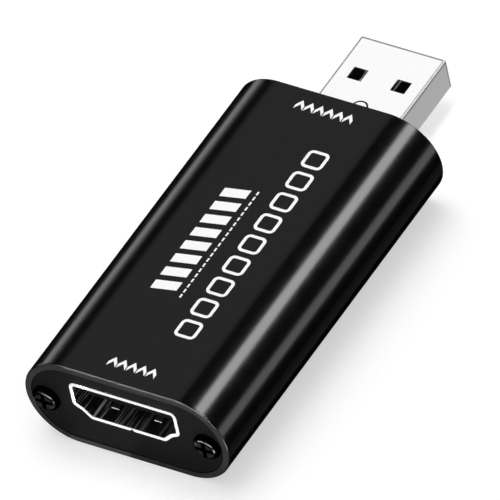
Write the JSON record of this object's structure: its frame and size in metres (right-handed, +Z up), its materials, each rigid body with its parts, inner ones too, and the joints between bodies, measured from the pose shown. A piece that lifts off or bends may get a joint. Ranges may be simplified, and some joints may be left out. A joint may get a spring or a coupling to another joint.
{
  "type": "video capture box",
  "caption": "Stick-shaped video capture box: flat-oval metal housing, a video socket in the front end and a data plug standing out of the rear end.",
  "frame": {"origin": "middle of the housing's flat underside", "axes": "+Y from the video socket's end to the plug's end, +Z up out of the printed face, +X to the right as seen from the socket's end"},
  "size_m": [0.0284, 0.0678, 0.013],
  "materials": {
    "black_housing": "gloss",
    "black_plate": "satin",
    "black_steel": "black oxide",
    "nickel_plate": "bright nickel plate",
    "black_plastic": "satin",
    "gold_plate": "gold plate",
    "tin_plate": "tin plate",
    "green_board": "solder mask",
    "chip_resin": "moulded",
    "dark_ferrite": "matte",
    "tan_ceramic": "matte"
  },
  "bodies": {
    "root": {"housing": "black_housing", "front_plate": "black_plate", "rear_plate": "black_plate", "front_screws": "black_steel", "rear_screws": "black_steel", "video_socket_shell": "nickel_plate", "video_socket_insulator": "black_plastic", "video_socket_upper_contacts": "gold_plate", "video_socket_lower_contacts": "gold_plate", "plug_shell": "nickel_plate", "plug_insulator": "black_plastic", "plug_contacts": "gold_plate", "circuit_board": "green_board", "capture_chip": "chip_resin", "capture_chip_leads": "tin_plate", "memory_chip": "chip_resin", "memory_chip_leads": "tin_plate", "voltage_regulators": "chip_resin", "voltage_regulator_leads": "tin_plate", "crystal_base": "black_plastic", "crystal_can": "nickel_plate", "crystal_leads": "tin_plate", "power_inductor": "dark_ferrite", "power_inductor_terminals": "tin_plate", "surge_protectors": "chip_resin", "ceramic_capacitors": "tan_ceramic", "capacitor_terminals": "tin_plate", "chip_resistors": "dark_ferrite", "resistor_terminals": "tin_plate"}
  },
  "joints": []
}
